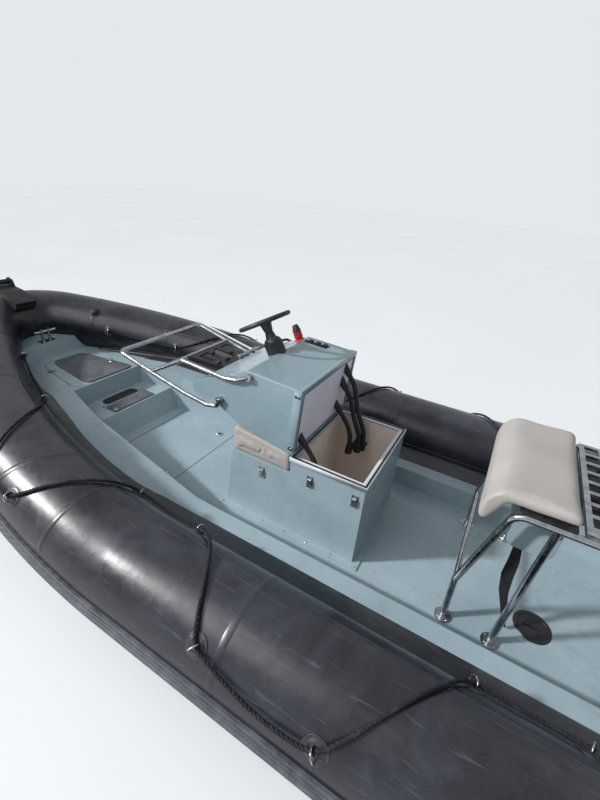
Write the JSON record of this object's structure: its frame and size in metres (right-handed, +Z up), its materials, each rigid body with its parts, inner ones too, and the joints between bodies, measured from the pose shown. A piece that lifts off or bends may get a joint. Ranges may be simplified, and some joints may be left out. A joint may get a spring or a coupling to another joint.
{
  "type": "rigid inflatable boat",
  "caption": "Open rigid inflatable boat with a deep-V hull, air tube collar, tilting console over a locker, helm seat, bow lockers and outboard motor.",
  "frame": {"origin": "on the centreline at the waterline, amidships", "axes": "+X to the bow, +Y to port, +Z up"},
  "size_m": [6.6495, 2.744, 2.1267],
  "materials": {
    "gelcoat_grey_blue": "satin grey-blue moulded gelcoat",
    "gelcoat_console": "satin pale blue-grey gelcoat",
    "gelcoat_hull": "gloss pale grey gelcoat",
    "gelcoat_inside": "matt tan flowcoat",
    "panel_lilac": "matt lilac-grey panel",
    "tube_fabric": "dark charcoal coated fabric",
    "strake_rubber": "grey ribbed rubber",
    "black_rubber": "black rubber",
    "rope_black": "black laid rope",
    "stainless": "polished stainless steel",
    "cushion_beige": "beige upholstery vinyl",
    "pad_grey": "grey non-skid surface",
    "black_plastic": "black moulded plastic",
    "red_plastic": "red plastic",
    "white_plastic": "white plastic",
    "webbing_black": "black webbing",
    "motor_paint": "gloss dark grey paint",
    "prop_metal": "black painted aluminium"
  },
  "bodies": {
    "boat": {"hull": "gelcoat_hull", "deck_liner": "gelcoat_grey_blue", "transom": "gelcoat_grey_blue", "port_tube": "tube_fabric", "starboard_tube": "tube_fabric", "port_strake": "strake_rubber", "starboard_strake": "strake_rubber", "port_collar_strip": "tube_fabric", "starboard_collar_strip": "tube_fabric", "port_lifeline": "rope_black", "starboard_lifeline": "rope_black", "port_rings": "stainless", "starboard_rings": "stainless", "valves": "stainless", "bow_fairlead": "black_rubber", "bow_roller": "black_rubber", "bow_cleat": "stainless", "bow_eye": "stainless", "stern_eyes": "stainless", "anchor_hinge_base": "stainless", "hose_glands": "black_rubber", "locker": "gelcoat_grey_blue", "locker_gasket": "black_rubber", "locker_lining": "gelcoat_inside", "locker_latches": "stainless", "locker_hinge": "stainless", "front_cushion": "cushion_beige", "seat_frame": "stainless", "seat_base": "black_plastic", "seat_cushion": "cushion_beige", "seat_rack": "stainless", "seat_box": "gelcoat_grey_blue", "seat_strap": "webbing_black", "deck_plate": "black_plastic", "motor_bracket": "motor_paint", "steering_hose": "black_rubber", "throttle_hose": "black_rubber", "wiring_hose": "black_rubber", "lower_hose": "black_rubber"},
    "console": {"console_shell": "gelcoat_console", "console_base_panel": "panel_lilac", "console_hinge": "stainless", "helm_hub": "black_plastic", "dash_switches": "black_plastic", "kill_switch": "red_plastic", "engine_control": "black_plastic", "handrail": "stainless", "instrument_frame": "black_plastic", "antenna": "white_plastic", "hose_boots": "black_rubber"},
    "wheel": {"steering_wheel": "black_plastic"},
    "anchor_lid_body": {"anchor_lid": "pad_grey", "anchor_hinge_leaves": "stainless"},
    "step_lid_body": {"step_lid": "pad_grey"},
    "deck_hatch_body": {"deck_hatch": "gelcoat_grey_blue"},
    "motor_swivel_body": {"motor_swivel": "motor_paint"},
    "motor": {"motor_leg": "motor_paint", "motor_cowl": "motor_paint"},
    "propeller_body": {"propeller": "prop_metal"}
  },
  "joints": [
    {"name": "console_tilt", "type": "hinge", "parent": "boat", "child": "console", "pos_m": [-0.155, 0, 0.709], "axis": [0, 1, 0], "range_deg": [-86, 0], "deforming": ["steering_hose", "throttle_hose", "wiring_hose", "lower_hose"]},
    {"name": "steering_turn", "type": "hinge", "parent": "console", "child": "wheel", "pos_m": [0.18543, 0, 1.11605], "axis": [0.4848, 0, 0.8746], "range_deg": [-540, 540]},
    {"name": "anchor_lid_hinge", "type": "hinge", "parent": "boat", "child": "anchor_lid_body", "pos_m": [1.8904, 0.29247, 0.444], "axis": [-0.9868, 0.1618, 0], "range_deg": [0, 100]},
    {"name": "step_lid_hinge", "type": "hinge", "parent": "boat", "child": "step_lid_body", "pos_m": [1.694, 0, 0.29], "axis": [0, 1, 0], "range_deg": [0, 90]},
    {"name": "deck_hatch_hinge", "type": "hinge", "parent": "boat", "child": "deck_hatch_body", "pos_m": [1.333, 0, 0.125], "axis": [0, 1, 0], "range_deg": [0, 90]},
    {"name": "motor_tilt", "type": "hinge", "parent": "boat", "child": "motor_swivel_body", "pos_m": [-2.64, 0, 0.345], "axis": [0, 1, 0], "range_deg": [0, 65]},
    {"name": "motor_steer", "type": "hinge", "parent": "motor_swivel_body", "child": "motor", "pos_m": [-2.735, 0, 0], "axis": [0, 0, 1], "range_deg": [-32, 32]},
    {"name": "propeller_spin", "type": "hinge", "parent": "motor", "child": "propeller_body", "pos_m": [-3, 0, -0.54], "axis": [1, 0, 0], "continuous": true}
  ]
}
